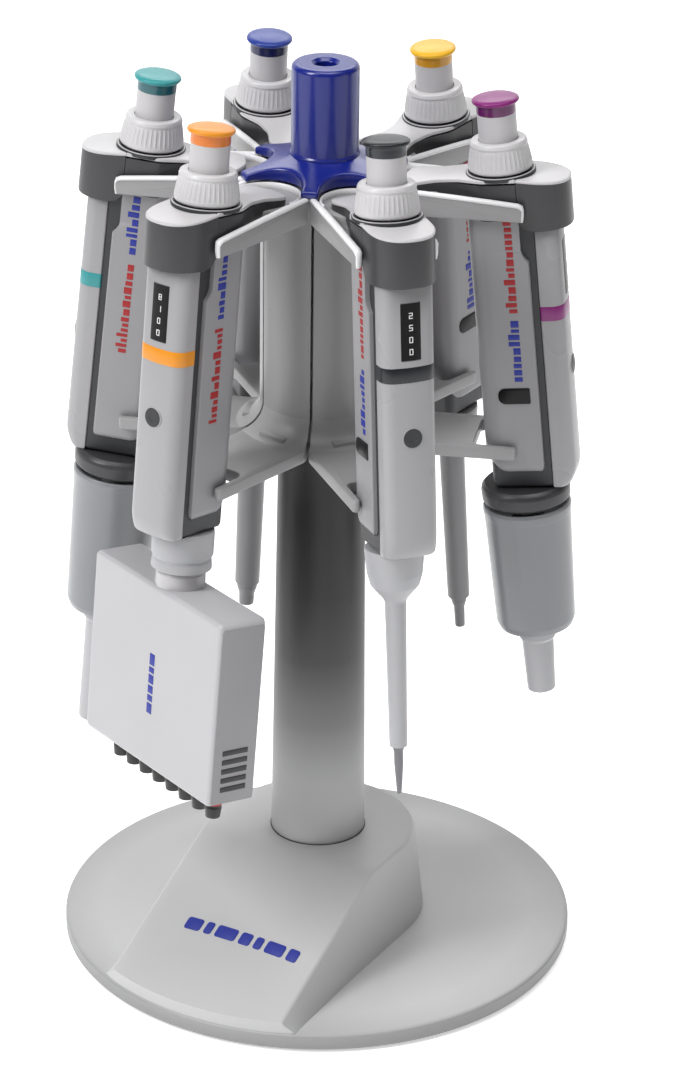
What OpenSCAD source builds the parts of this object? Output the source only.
// Six hand pipettes on a rotating bench stand, every piece its own module.
// Millimetres. Origin: centre of the base's underside. +Z is up, the ramp points to -Y.
// Each pipette is drawn on its own axis: button top at z = 0, the barrel below it along -Z,
// +X (its front) away from the stand. Depths are distances below the button top.

/* [Stand] */
// Radius of the round base
base_r = 100; // [90:1:110]
// Height of the base's rim edge
rim_h = 7.3; // [5:0.1:12]
// Height of the raised platform under the column
platform_h = 44; // [30:1:60]
// Column radius where it leaves the platform
column_r1 = 18.4; // [14:0.1:22]
// Column radius just below the rotating head
column_r2 = 16.4; // [12:0.1:20]
// Height where the column ends and the rotating head begins
head_z = 214; // [200:1:230]
// Height of the top rim of the pipette holders
holder_top = 316; // [300:1:330]
// Height of the top of the blue carrying handle
handle_top = 357.5; // [340:0.5:370]
// Radius of the carrying handle
handle_r = 12.45; // [10:0.05:16]
// Radius of the finger hole in the handle
handle_hole_r = 4; // [2:0.5:6]
// Distance from the axis to the points of the star cap
star_r = 31; // [26:0.5:36]

/* [Pipette placing] */
// Direction of the first pipette, counted from the front towards +X
first_azimuth = -10; // [-30:1:30]
// Distance from the stand axis to the middle of each button top
button_radius = 62; // [55:0.5:70]
// Height of each button top
button_h = 349; // [340:1:360]
// Lean of each pipette, lower end outwards
lean = 6; // [0:0.5:10]

/* [Pipette] */
// Radius of the button cap
cap_r = 8.65; // [7:0.05:10]
// Radius of the push rod below the button
stem_r = 7.1; // [5:0.1:8]
// Radius of the setting ring at its lower edge
ring_r = 11.75; // [10:0.05:13]
// Running clearance between moving pieces
run = 0.08; // [0.01:0.01:0.1]
// Gap left between fixed neighbours
gap = 0.05; // [0.01:0.01:0.2]

/* [Eight channel head] */
// Pitch of the tip cones
cone_pitch = 9; // [9:0.5:9]
// Turn of the head about its pipette's axis
head_turn = -15; // [-180:1:180]

/* [Hidden] */
$fn = 64;

white = [0.88, 0.88, 0.88];
pale = [0.80, 0.80, 0.80];
dark = [0.22, 0.23, 0.24];
mid = [0.42, 0.43, 0.44];
star_blue = [0.10, 0.14, 0.60];
steel = [0.7, 0.7, 0.72];
cream = [0.85, 0.82, 0.7];
black = [0.1, 0.1, 0.1];

// pipette models, in order round the stand
orange = 0;
grey = 1;
purple = 2;
yellow = 3;
blue = 4;
teal = 5;
accents = [
    [0.94, 0.50, 0.10], [0.22, 0.24, 0.26], [0.55, 0.10, 0.48],
    [0.95, 0.75, 0.12], [0.12, 0.22, 0.62], [0.20, 0.60, 0.62]];

// kinds of lower end
eight_channel = 0;
slim = 1;
wide = 2;
// per model: kind, sleeve end radius, sleeve end depth, tip radius, tip end depth,
// barrel radius, piston radius, piston start depth (0 where it doesn't apply)
models = [
    [eight_channel, 0, 0, 0, 0, 0, 1.2, 148],
    [slim, 3.3, 229, 1.0, 248, 0, 1.0, 150],
    [wide, 14.8, 210, 5.2, 238, 16.8, 6, 172],
    [slim, 4.4, 238, 2.0, 252, 0, 1.4, 150],
    [slim, 5, 240, 3.0, 250, 0, 2.2, 150],
    [wide, 15, 218, 6.2, 268, 17.4, 8, 172]];
function kind(model) = models[model][0];
function sleeve_r(model) = models[model][1];
function sleeve_end(model) = models[model][2];
function tip_r(model) = models[model][3];
function tip_end(model) = models[model][4];
function barrel_r(model) = models[model][5];
function piston_r(model) = models[model][6];
function piston_start(model) = models[model][7];

// base
ramp_r1 = 42;        // half width at the bottom
ramp_r2 = 38;        // half width at the top
ramp_len = base_r - 0.8;
screw_circle_r = 70;
screw_angles = [30, 90, 150, 210, 330];

// column and head
tie_hole_r = 3.2;
spindle_r = 8;
spindle_h = 92;
bearing_r = 11;
bearing_h = 8;
bearing_zs = [head_z + 4, head_z + 82];

// holders
arm_v = star_r * 0.5;      // star point, across the holder
arm_u = star_r * 0.866;    // star point, outwards
arm_t = 1.9;
drum_z = head_z + 1.1;
drum_r = 23.4;
drum_bore_r = 21.2;
drum_h = holder_top - 3.4 - drum_z;
drum_slope = 0.552;        // half width over distance, for one sixth of the drum
bead_r = 12.9;
scallop_x = 32.7;          // centre of the star cap's scallops and of the beads
scallop_r = 13.2;

// carrying handle
handle_z = holder_top + 7.05;
handle_h = handle_top - handle_z;
handle_edge_r = 2;

// pipette
pin_r = 5;             // socket in the button
button_len = 6.2;
rod_r = 2.2;           // thin rod below the push rod
body_end = 150;
neck_r = 6.85;
neck_start = 138.1;
window_top = 54.5;
window_end = 75.5;
window_w = 7.6;
panel_x = 20.0;        // inner face of the front panel
band_top = 78;
band_end = 83.5;
plug_depth = 104;
plug_r = 3.5;
plug_pin_r = 3.0;

// ---- helpers ----
// turn of a place on the stand, its +X outwards
function azimuth(place) = first_azimuth + 60 * place - 90;

// carries children from a pipette's axis to its place on the stand
module rack(model)
    rotate([0, 0, azimuth(model)])
        translate([button_radius, 0, button_h])
            rotate([0, -lean, 0]) children();

// body of revolution from [radius, depth] pairs
module turned(points) rotate_extrude() polygon([for (p = points) [p[0], -p[1]]]);

// block between two depths
module slab(top, end) translate([0, 0, -end]) linear_extrude(end - top) children();

// points on an arc
function arc(x, y, radius, start, end, steps) = [
    for (i = [0:steps])
        let (a = start + (end - start) * i / steps)
            [x + radius * cos(a), y + radius * sin(a)]];

// rounded rectangle from x_lo to x_hi, with a corner radius for each end
module rounded_rect(x_lo, x_hi, half_w, r_lo, r_hi) polygon(concat(
    arc(x_hi - r_hi, -half_w + r_hi, r_hi, -90, 0, 8),
    arc(x_hi - r_hi, half_w - r_hi, r_hi, 0, 90, 8),
    arc(x_lo + r_lo, half_w - r_lo, r_lo, 90, 180, 8),
    arc(x_lo + r_lo, -half_w + r_lo, r_lo, 180, 270, 8)));

// ---- stand ----
module at_screws()
    for (a = screw_angles) rotate([0, 0, a]) translate([screw_circle_r, 0, 0]) children();

// sloping wedge with a rounded back end
module ramp_shape(grow, top) intersection() {
    union() {
        cylinder(r1 = ramp_r1 + grow, r2 = ramp_r2 + grow, h = top, $fn = 96);
        rotate([90, 0, 0]) linear_extrude(ramp_len + grow * 0.5) polygon([
            [-ramp_r1 - grow, 0], [ramp_r1 + grow, 0],
            [ramp_r2 + grow, top], [-ramp_r2 - grow, top]]);
    }
    // side view: y, z
    rotate([90, 0, 90]) linear_extrude(200, center = true) polygon([
        [60, -1], [60, top], [-20, top], [-ramp_len - grow, 8 + grow], [-base_r - 1, -1]]);
    translate([0, 0, 4]) cylinder(r = base_r - 0.4, h = 200, $fn = 128);
}

module base_shell() color(pale) difference() {
    union() {
        rotate_extrude($fn = 128) polygon([
            [0, 0.8], [base_r - 1.8, 0.8], [base_r - 0.6, 1.4], [base_r, 2.6],
            [base_r, rim_h - 1.6], [base_r - 0.5, rim_h - 0.4], [base_r - 1.4, rim_h],
            [44, rim_h + 1.7], [0, rim_h + 1.7]]);
        ramp_shape(0, platform_h);
    }
    // hollow underside, with the screw posts left standing
    difference() {
        translate([0, 0, 0.5]) cylinder(r = base_r - 3.5, h = 4.6, $fn = 128);
        at_screws() cylinder(r = 4, h = 12);
    }
    ramp_shape(-3, platform_h - 7);
    // socket for the column
    translate([0, 0, platform_h - 4]) cylinder(r = column_r1 + gap, h = 10, $fn = 96);
    translate([0, 0, platform_h - 12]) cylinder(r = 6.2, h = 12);
    // screw holes for the bottom plate
    at_screws() translate([0, 0, -0.1]) cylinder(r = 1.3, h = 4.6);
}

module base_plate() color(dark) difference() {
    union() {
        translate([0, 0, 1]) cylinder(r = base_r - 4, h = 1.6, $fn = 128);
        translate([0, 0, 2.6 - 0.01]) cylinder(r = 24, h = 20);
    }
    at_screws() cylinder(r = 4.2, h = 6);
    // tie rod hole and room for its lower hexagon
    cylinder(r = tie_hole_r, h = 60);
    cylinder(r = 7, h = 8);
}

// ring foot and three pads, four separate solids
module base_feet() color(dark) {
    foot_h = 0.95;
    difference() {
        cylinder(r = base_r - 4.5, h = foot_h, $fn = 128);
        translate([0, 0, -1]) cylinder(r = base_r - 10, h = 3, $fn = 128);
    }
    for (a = [90, 210, 330]) rotate([0, 0, a]) translate([50, 0, 0]) cylinder(r = 8, h = foot_h);
}

module column_tube() color(pale) difference() {
    union() {
        translate([0, 0, platform_h - 4]) cylinder(r = column_r1, h = 4.01, $fn = 96);
        translate([0, 0, platform_h])
            cylinder(r1 = column_r1, r2 = column_r2, h = head_z - platform_h - 0.5, $fn = 96);
        // spindle inside the rotating head
        translate([0, 0, head_z - 0.51]) cylinder(r = spindle_r, h = spindle_h, $fn = 64);
    }
    translate([0, 0, platform_h - 5]) cylinder(r = 13.5, h = head_z - platform_h - 6, $fn = 64);
    cylinder(r = tie_hole_r, h = 400, $fn = 32);
}

// long bolt that pulls the column down onto the base
module tie_rod() color(steel) {
    translate([0, 0, 3]) cylinder(r = 6, h = 4.5, $fn = 6);
    translate([0, 0, 7]) cylinder(r = 3, h = head_z + spindle_h - 7);
    translate([0, 0, head_z + spindle_h - 0.4]) cylinder(r = 5, h = 3.2, $fn = 6);
}

module hub_bearings() color(cream) for (z = bearing_zs) translate([0, 0, z]) difference() {
    cylinder(r = bearing_r, h = bearing_h);
    translate([0, 0, -1]) cylinder(r = spindle_r + run, h = 10);
}

module hub_core() color(white) difference() {
    translate([0, 0, head_z]) cylinder(r = 16.2, h = 99.5, $fn = 96);
    translate([0, 0, head_z - 1]) cylinder(r = 9.2, h = 96);
    // bearing seats, the lower one open below
    for (z = bearing_zs)
        translate([0, 0, z - 0.02]) cylinder(r = bearing_r + gap, h = bearing_h + 0.04);
    translate([0, 0, head_z - 1]) cylinder(r = bearing_r + gap, h = 5.02);
    // three small holes in the top
    for (a = [0, 120, 240])
        rotate([0, 0, a]) translate([12.6, 0, head_z + 90]) cylinder(r = 1.3, h = 20, $fn = 24);
}

// side view of a holder arm: distance from the star point, height
arm_side = [
    [0.1, holder_top], [0.1, holder_top - 9.8],
    [48.2, holder_top - 9.6], [48.6, holder_top - 3.1]];

// outline of the tray floor, shrunk by inset
module tray_shape(inset) difference() {
    polygon([
        [17.5, -9.9 + inset], [27, -15.3 + inset],
        [74.6 - inset, -15.3 + inset], [75.4 - inset, -14.4 + inset],
        [75.4 - inset, 14.4 - inset], [74.6 - inset, 15.3 - inset],
        [27, 15.3 - inset], [17.5, 9.9 - inset]]);
    circle(r = 17.2, $fn = 96);
}

// one sixth of the drum round the hub
module holder_web() intersection() {
    translate([0, 0, drum_z]) difference() {
        cylinder(r = drum_r, h = drum_h, $fn = 96);
        translate([0, 0, -1]) cylinder(r = drum_bore_r, h = 100, $fn = 96);
    }
    translate([0, 0, drum_z]) linear_extrude(drum_h) polygon([
        [5, -5 * drum_slope], [40, -40 * drum_slope],
        [40, 40 * drum_slope], [5, 5 * drum_slope]]);
}

// flare where the drum runs out into the tray
module holder_flare() intersection() {
    translate([0, 0, drum_z]) difference() {
        cylinder(r1 = 30, r2 = 22, h = 9, $fn = 96);
        translate([0, 0, -1]) cylinder(r = drum_bore_r, h = 12, $fn = 96);
    }
    translate([0, 0, drum_z]) linear_extrude(12) polygon([
        [5, -5 * drum_slope], [27, -14.9], [40, -14.9],
        [40, 14.9], [27, 14.9], [5, 5 * drum_slope]]);
}

module one_holder() difference() {
    union() {
        // two arms above
        for (m = [-1, 1])
            translate([arm_u, m * (arm_v - 1.15), 0]) rotate([90, 0, 0])
                translate([0, 0, -arm_t / 2]) linear_extrude(arm_t) polygon(arm_side);
        holder_web();
        holder_flare();
        // ties to the hub, one in the tray and one under the pad
        for (z = [head_z + 2, holder_top - 7.8]) translate([16.35, -6, z]) cube([13.6, 12, 4]);
        // floor of the tray, stepped in below
        translate([0, 0, head_z]) linear_extrude(3.5) tray_shape(0);
        translate([0, 0, head_z - 1.6]) linear_extrude(1.7) tray_shape(1.1);
        // pad the finger hook rests on, with a raised bead that follows the star cap
        translate([29.5, -arm_v + 1.1, holder_top - 8]) cube([6.5, arm_v * 2 - 2.2, 4.2]);
        translate([scallop_x, 0, holder_top - 6.4]) cylinder(r = bead_r, h = 4.1, $fn = 72);
        translate([scallop_x, 0, holder_top - 2.4]) intersection() {
            difference() {
                cylinder(r = bead_r, h = 2.1, $fn = 72);
                translate([0, 0, -1]) cylinder(r = bead_r - 1, h = 5, $fn = 72);
            }
            translate([-20, -20, -1]) cube([20, 40, 5]);
        }
    }
    // throat for the pipette body
    translate([58.2, -12.6, head_z - 4]) cube([40, 25.2, 30]);
    // clear the neighbours: keep inside the 60 degree sector
    rotate([0, 0, 30]) translate([-5, -0.12, head_z - 14]) cube([60, 40, 150]);
    rotate([0, 0, -30]) translate([-5, -39.88, head_z - 14]) cube([60, 40, 150]);
}
module pipette_holders() color(white)
    for (place = [0:5]) rotate([0, 0, azimuth(place)]) one_holder();

// disc with a scallop in front of each pipette
module star_plate(radius, height, z) translate([0, 0, z]) linear_extrude(height) difference() {
    circle(r = radius, $fn = 96);
    for (place = [0:5])
        rotate([0, 0, azimuth(place)]) translate([scallop_x, 0]) circle(r = scallop_r, $fn = 72);
}

module star_cap() color(star_blue) difference() {
    union() {
        star_plate(star_r + 0.6, 3.6, holder_top + 0.1);
        // upper part, sloping in to the handle
        intersection() {
            star_plate(star_r - 0.4, 9, holder_top + 3.6);
            translate([0, 0, holder_top + 3.6])
                cylinder(r1 = star_r + 2, r2 = handle_r + 0.6, h = 3.4, $fn = 96);
        }
        translate([0, 0, holder_top - 2.4]) cylinder(r = 15.4, h = 3.4, $fn = 64);
    }
    translate([0, 0, holder_top - 4]) cylinder(r = 8.6, h = 7, $fn = 64);
    translate([0, 0, holder_top - 5]) cylinder(r = 3.1, h = 30, $fn = 32);
}

module carry_handle() color(star_blue) difference() {
    union() {
        translate([0, 0, handle_z]) rotate_extrude() polygon(concat(
            [[0, 0], [handle_r, 0]],
            arc(handle_r - handle_edge_r, handle_h - handle_edge_r, handle_edge_r, 0, 90, 6),
            [[0, handle_h]]));
        // peg through the star cap
        translate([0, 0, holder_top - 0.8]) cylinder(r = 3.05, h = 9);
    }
    // finger hole with a bevelled mouth
    translate([0, 0, handle_top - 14]) cylinder(r = handle_hole_r, h = 20);
    translate([0, 0, handle_top - 1])
        cylinder(r1 = handle_hole_r, r2 = handle_hole_r + 1.4, h = 1.4);
}

// ---- pipette pieces ----
module button(model) rack(model) color(accents[model]) difference() {
    turned([
        [0, 0], [5, 0.15], [7.6, 0.5], [8.4, 1.0], [cap_r, 1.6], [cap_r, 2.2], [8.3, 2.5],
        [7.3, 2.7], [stem_r, 3.2], [stem_r, button_len], [0, button_len]]);
    turned([[0, 3.4], [pin_r, 3.4], [pin_r, 7], [0, 7]]);
}

// push rod, thin rod and piston in one
module plunger(model) rack(model) color(pale) {
    piston_end = piston_start(model) + (kind(model) == eight_channel ? 10 : 14);
    turned([
        [0, 3.5], [pin_r - gap, 3.5], [pin_r - gap, button_len + gap],
        [stem_r, button_len + gap], [stem_r, 50], [6.6, 50.5], [rod_r, 50.5],
        [rod_r, piston_start(model)], [piston_r(model), piston_start(model)],
        [piston_r(model), piston_end], [0, piston_end]]);
}

// setting ring with 24 fine grooves
module dial(model) rack(model) color(pale) difference() {
    union() {
        turned([
            [0, 15.8], [9.6, 15.8], [10.2, 16.3], [10.4, 17], [11.0, 20.5],
            [ring_r - 0.1, 24.4], [ring_r, 25.4], [11.4, 26], [0, 26]]);
        turned([[0, 25.9], [8.8, 25.9], [8.8, 33], [0, 33]]);
    }
    turned([[0, 15], [stem_r + run, 15], [stem_r + run, 34], [0, 34]]);
    for (a = [0:15:345])
        rotate([0, 0, a]) translate([0, 0, -25.2]) rotate([0, -8.5, 0])
            translate([ring_r + 0.05, 0, 0]) cylinder(r = 0.45, h = 8.2, $fn = 12);
}

module hood_outer() rounded_rect(6.75, 25.4, 12, 0.3, 9);
module hood_inner() rounded_rect(4, 23.7, 10.35, 0.2, 7.6);

module ejector_hood() difference() {
    union() {
        slab(30, 48) hood_outer();
        // top plate, raked down towards the front
        intersection() {
            slab(26, 31) hood_outer();
            translate([6, 0, -28]) rotate([0, lean + 1, 0])
                translate([-8, -20, -10]) cube([50, 40, 10]);
        }
    }
    slab(31.6, 60) hood_inner();
    // ring recess
    turned([[0, 20], [13, 20], [13, 32], [0, 32]]);
    // bevelled lower rear corners of the skirt
    for (m = [-1, 1])
        translate([6.7, m * 12, -48]) rotate([90, 0, 0])
            cylinder(r = 4, h = 6, center = true, $fn = 4);
}

module slim_sleeve(model) {
    end_r = sleeve_r(model);
    end = sleeve_end(model);
    turned([
        [7.4, 151], [11, 151], [11, 153], [10.2, 162], [8, 166.5],
        [end > 235 ? end_r + 0.9 : 4.2, 172], [end_r, end - 1], [end_r - 0.4, end],
        [end_r - 1.0, end], [end_r - 1.0, 168], [7.0, 163.5], [8.6, 154], [7.4, 152.6]]);
}

module wide_sleeve(model) {
    end_r = sleeve_r(model);
    end = sleeve_end(model);
    top_r = barrel_r(model);
    turned([
        [top_r - 1.6, 159], [top_r, 159], [end_r, end - 1], [end_r - 0.6, end],
        [end_r - 1.6, end]]);
    turned([
        [7.4, 151.6], [10.1, 151.6], [10.1, 159.1], [top_r - 1.5, 159.1],
        [top_r - 1.5, 161], [7.4, 161]]);
}

module ejector(model) rack(model) color(mid) union() {
    ejector_hood();
    // web and pull bar
    slab(34, 36.4) translate([8.2, -4]) square([15.8, 8]);
    slab(34, kind(model) == eight_channel ? 151 : 153) translate([8.2, -3]) square([1.9, 6]);
    if (kind(model) == slim) slim_sleeve(model);
    if (kind(model) == wide) wide_sleeve(model);
    if (kind(model) == eight_channel)
        turned([[7.4, 151], [10.1, 151], [10.1, 155], [7.4, 155]]);
}

// body outlines, shrunk by inset
module front_outline(inset)
    rounded_rect(12 + inset, 21.5 - inset * 0.9, 10 - inset, 0.6, 6.4 - inset);
module rear_outline(inset, front = 9.2)
    rounded_rect(-13 + inset, front - inset, 11.5 - inset, 8 - inset, 0.6);

// cylinder pointing to the front at the plug's depth
module plug_cylinder(x, radius, length)
    translate([x, 0, -plug_depth]) rotate([0, 90, 0]) cylinder(r = radius, h = length, $fn = 40);

module front_panel() difference() {
    intersection() {
        slab(44, body_end) front_outline(0);
        // side view with a rounded lower front edge
        rotate([90, 0, 0]) linear_extrude(40, center = true) polygon(concat(
            [[11, -44], [11, -body_end]], arc(14, -142, 7.9, 270, 355, 6), [[21.9, -44]]));
    }
    slab(43, 148.4) rounded_rect(4, panel_x, 8.5, 0.2, 5);
    slab(window_top, window_end) translate([15, -window_w / 2]) square([10, window_w]);
    // groove for the accent band
    difference() {
        slab(band_top, band_end) translate([11, -14]) square([20, 28]);
        slab(70, 90) front_outline(0.8);
    }
    plug_cylinder(10, plug_r, 20);
    // way through for the pull bar
    slab(146, 152) translate([8, -3.2]) square([2.3, 6.4]);
}

hook_outline = [
    [-12, -9.4], [-18, -6.9], [-26, -6.6], [-31, -6.2], [-33.6, -4], [-34, 0],
    [-33.6, 4], [-31, 6.2], [-26, 6.6], [-18, 6.9], [-12, 9.4]];

// rear housing with the finger hook
module rear_housing() difference() {
    union() {
        slab(29.6, 58) rear_outline(0, 6.6);
        slab(57.5, 143) rear_outline(0);
        slab(28, 44) rounded_rect(-14, 6.7, 12, 6, 0.3);
        slab(28.4, 33) polygon(hook_outline);
    }
    slab(46, 150) rear_outline(1.7);
    slab(46, 150) translate([3, -9.8]) square([9, 19.6]);
    slab(33.4, 47) rounded_rect(-11.2, 9, 9.9, 5, 0.3);
    // room for the setting ring and its collar
    turned([[0, 20], [13, 20], [13, 31], [9.2, 31], [9.2, 40], [0, 40]]);
    // bevelled lower rear edge
    translate([-13, 0, -143]) rotate([90, 0, 0]) cylinder(r = 5, h = 40, center = true, $fn = 4);
    // slot window in the -Y side
    translate([-5.6, -20, -115.2]) cube([11.8, 11, 6]);
    // raked underside of the hook
    translate([-12, -20, -38.4]) rotate([0, 8, 0]) translate([-30, 0, -4]) cube([30, 40, 8]);
}

module shells(model) rack(model) color(white) {
    front_panel();
    rear_housing();
}

module core(model) rack(model) color(dark) difference() {
    union() {
        slab(33.5, body_end) rounded_rect(-11.0, 7.6, 9.6, 6.4, 0.4);
        slab(46.2, body_end) translate([5.5, -9.6]) square([6.3, 19.2]);
        slab(46, 148) rounded_rect(5, 19.6, 8.3, 0.3, 4.4);
        slab(142, body_end) rounded_rect(-11.2, 11.8, 9.7, 6.4, 0.4);
    }
    // push rod guide and return spring chamber
    turned([
        [0, 20], [stem_r + run, 20], [stem_r + run, 64], [6, 66], [6, 110],
        [rod_r + run, 112], [rod_r + run, 170], [0, 170]]);
    // slots for the pull bar and the hood's web
    slab(20, 170) translate([8.05, -3.15]) square([2.2, 6.3]);
    slab(20, 46) translate([7.7, -4.2]) square([20, 8.4]);
    // neck of the lower part
    turned([[0, 138], [neck_r + gap, 138], [neck_r + gap, 156], [0, 156]]);
    // side recess behind the slot window
    translate([-6.3, -20, -115.9]) cube([13.2, 11.4, 7.4]);
    // pocket behind the front plug
    plug_cylinder(16.5, plug_pin_r, 20);
}

// display window, accent band and adjustment plug
module trim(model) rack(model) color(accents[model]) {
    slab(window_top + gap, window_end - gap)
        translate([panel_x + gap, -window_w / 2 + gap]) square([1.2, window_w - 2 * gap]);
    slab(band_top + gap, band_end - gap) difference() {
        front_outline(0.02);
        front_outline(0.78);
        translate([0, -14]) square([12.3, 28]);
        translate([0, -9.2]) square([15, 18.4]);
    }
    plug_cylinder(16.8, plug_pin_r - gap, 3.3);
    plug_cylinder(panel_x + gap, plug_r - gap, 1.3);
}

module slim_end(model) {
    shaft_r = sleeve_r(model) - 1.1;
    end = sleeve_end(model);
    turned([
        [0, 157.9], [6.2, 157.9], [6.2, 162], [shaft_r, 167], [shaft_r, end + 0.5],
        [tip_r(model) + 0.6, end + 1.5], [tip_r(model), tip_end(model)],
        [0, tip_end(model)]]);
}

module wide_end(model) {
    collar_r = barrel_r(model);
    shaft_r = piston_r(model) + 2.2;
    end = sleeve_end(model);
    // collar ring below the housing, cut for the pull bar
    difference() {
        turned([
            [6.8, 150.2], [collar_r - 0.8, 150.2], [collar_r, 151], [collar_r, 157.4],
            [collar_r - 0.6, 158.4], [10.4, 158.4], [10.4, 151.5], [6.8, 151.5]]);
        slab(140, 170) translate([5, -3.3]) square([7, 6.6]);
    }
    turned([
        [0, 157.9], [6.2, 157.9], [6.2, 169], [shaft_r, 169.6], [shaft_r, end - 8],
        [tip_r(model) + 2.2, end - 2], [tip_r(model) + 1.6, end + 6],
        [tip_r(model), tip_end(model)], [0, tip_end(model)]]);
}

// neck collar above the eight channel head
module eight_channel_end() {
    turned([[0, 150.1], [neck_r, 150.1], [neck_r, 157], [0, 157]]);
    turned([[0, 164.1], [11.5, 164.1], [11.5, 166], [0, 166]]);
    turned([[10.4, 150.2], [11.5, 150.2], [11.5, 164.2], [10.4, 164.2]]);
    turned([[0, 156.9], [neck_r, 156.9], [5, 158], [5, 164.2], [0, 164.2]]);
}

// bore for rod and piston; a thin piston needs room for the rod above it
module piston_bore(model) {
    start = piston_start(model);
    step = piston_r(model) > rod_r ? start - 0.1 : start + 12.5;
    bore_r = piston_r(model) + run;
    turned([
        [0, 130], [rod_r + run, 130], [rod_r + run, step], [bore_r, step],
        [bore_r, start + 27.5], [0.4, start + 28.5], [0.4, 400], [0, 400]]);
}

module lower(model) rack(model) color(dark) {
    neck_end = kind(model) == eight_channel ? 150.2 : 158;
    difference() {
        union() {
            turned([[0, neck_start], [neck_r, neck_start], [neck_r, neck_end], [0, neck_end]]);
            if (kind(model) == slim) slim_end(model);
            if (kind(model) == wide) wide_end(model);
            if (kind(model) == eight_channel) eight_channel_end();
        }
        if (kind(model) != eight_channel) piston_bore(model);
        if (kind(model) == eight_channel) {
            turned([
                [0, 130], [rod_r + run, 130], [rod_r + run, 148], [rod_r + run, 172], [0, 172]]);
            slab(140, 163) translate([7.2, -3.3]) square([3.2, 6.6]);
        }
    }
}

// ---- eight channel head, turned about the pipette axis ----
module on_head() rack(orange) rotate([0, 0, head_turn]) translate([0, 0, 4]) children();
module at_cones() for (i = [0:7]) translate([0, (i - 3.5) * cone_pitch, 0]) children();

module manifold_body() difference() {
    union() {
        intersection() {
            slab(176, 248) rounded_rect(-10, 10, 42.5, 2.5, 2.5);
            // view along X, with a shallow dip in the top: y, z
            rotate([90, 0, 90]) linear_extrude(60, center = true) polygon([
                [-42.5, -248], [42.5, -248], [42.5, -177.2], [41.5, -176],
                [24, -178], [-24, -178], [-41.5, -176], [-42.5, -177.2]]);
        }
        turned([[0, 170.2], [9, 170.2], [9.6, 171], [9.6, 178.5], [0, 178.5]]);
    }
    slab(182, 260) rounded_rect(-8, 8, 40.5, 1, 1);
    turned([[0, 160], [2.6, 160], [2.6, 183], [0, 183]]);
    // grille slots in the end faces
    for (m = [-1, 1], i = [0:5]) translate([-5, m * 41.5 - 2, -198 - i * 4]) cube([10, 4, 1.8]);
}

// plate inside the head that carries all the cones
module cone_carrier() difference() {
    slab(240, 245.5) rounded_rect(-7.9, 7.9, 40.4, 1, 1);
    at_cones() turned([[0, 230], [3.25, 230], [3.25, 250], [0, 250]]);
}

module orange_manifold() color(pale) on_head() {
    manifold_body();
    cone_carrier();
}

module orange_cones() color(black) on_head() {
    at_cones() difference() {
        turned([
            [0, 200], [3.2, 200], [3.2, 246], [3.9, 246.2], [3.9, 249], [3.0, 249.5],
            [2.9, 250.6], [2.5, 250.6], [2.5, 252.2], [2.8, 252.2], [2.4, 257], [0, 257]]);
        turned([[0, 190], [0.5, 190], [0.5, 260], [0, 260]]);
    }
    // sealing rings, separate solids
    at_cones() turned([[2.52, 250.7], [3.1, 250.7], [3.1, 252.1], [2.52, 252.1]]);
}

// ---- named nodes of the six pipettes ----
module orange_button() button(orange);
module orange_plunger() plunger(orange);
module orange_dial() dial(orange);
module orange_ejector() ejector(orange);
module orange_shells() shells(orange);
module orange_core() core(orange);
module orange_trim() trim(orange);
module orange_lower() lower(orange);
module grey_button() button(grey);
module grey_plunger() plunger(grey);
module grey_dial() dial(grey);
module grey_ejector() ejector(grey);
module grey_shells() shells(grey);
module grey_core() core(grey);
module grey_trim() trim(grey);
module grey_lower() lower(grey);
module purple_button() button(purple);
module purple_plunger() plunger(purple);
module purple_dial() dial(purple);
module purple_ejector() ejector(purple);
module purple_shells() shells(purple);
module purple_core() core(purple);
module purple_trim() trim(purple);
module purple_lower() lower(purple);
module yellow_button() button(yellow);
module yellow_plunger() plunger(yellow);
module yellow_dial() dial(yellow);
module yellow_ejector() ejector(yellow);
module yellow_shells() shells(yellow);
module yellow_core() core(yellow);
module yellow_trim() trim(yellow);
module yellow_lower() lower(yellow);
module blue_button() button(blue);
module blue_plunger() plunger(blue);
module blue_dial() dial(blue);
module blue_ejector() ejector(blue);
module blue_shells() shells(blue);
module blue_core() core(blue);
module blue_trim() trim(blue);
module blue_lower() lower(blue);
module teal_button() button(teal);
module teal_plunger() plunger(teal);
module teal_dial() dial(teal);
module teal_ejector() ejector(teal);
module teal_shells() shells(teal);
module teal_core() core(teal);
module teal_trim() trim(teal);
module teal_lower() lower(teal);

base_shell();
base_plate();
base_feet();
column_tube();
tie_rod();
hub_core();
hub_bearings();
pipette_holders();
star_cap();
carry_handle();
orange_button();
orange_plunger();
orange_dial();
orange_ejector();
orange_shells();
orange_core();
orange_trim();
orange_lower();
grey_button();
grey_plunger();
grey_dial();
grey_ejector();
grey_shells();
grey_core();
grey_trim();
grey_lower();
purple_button();
purple_plunger();
purple_dial();
purple_ejector();
purple_shells();
purple_core();
purple_trim();
purple_lower();
yellow_button();
yellow_plunger();
yellow_dial();
yellow_ejector();
yellow_shells();
yellow_core();
yellow_trim();
yellow_lower();
blue_button();
blue_plunger();
blue_dial();
blue_ejector();
blue_shells();
blue_core();
blue_trim();
blue_lower();
teal_button();
teal_plunger();
teal_dial();
teal_ejector();
teal_shells();
teal_core();
teal_trim();
teal_lower();
orange_manifold();
orange_cones();
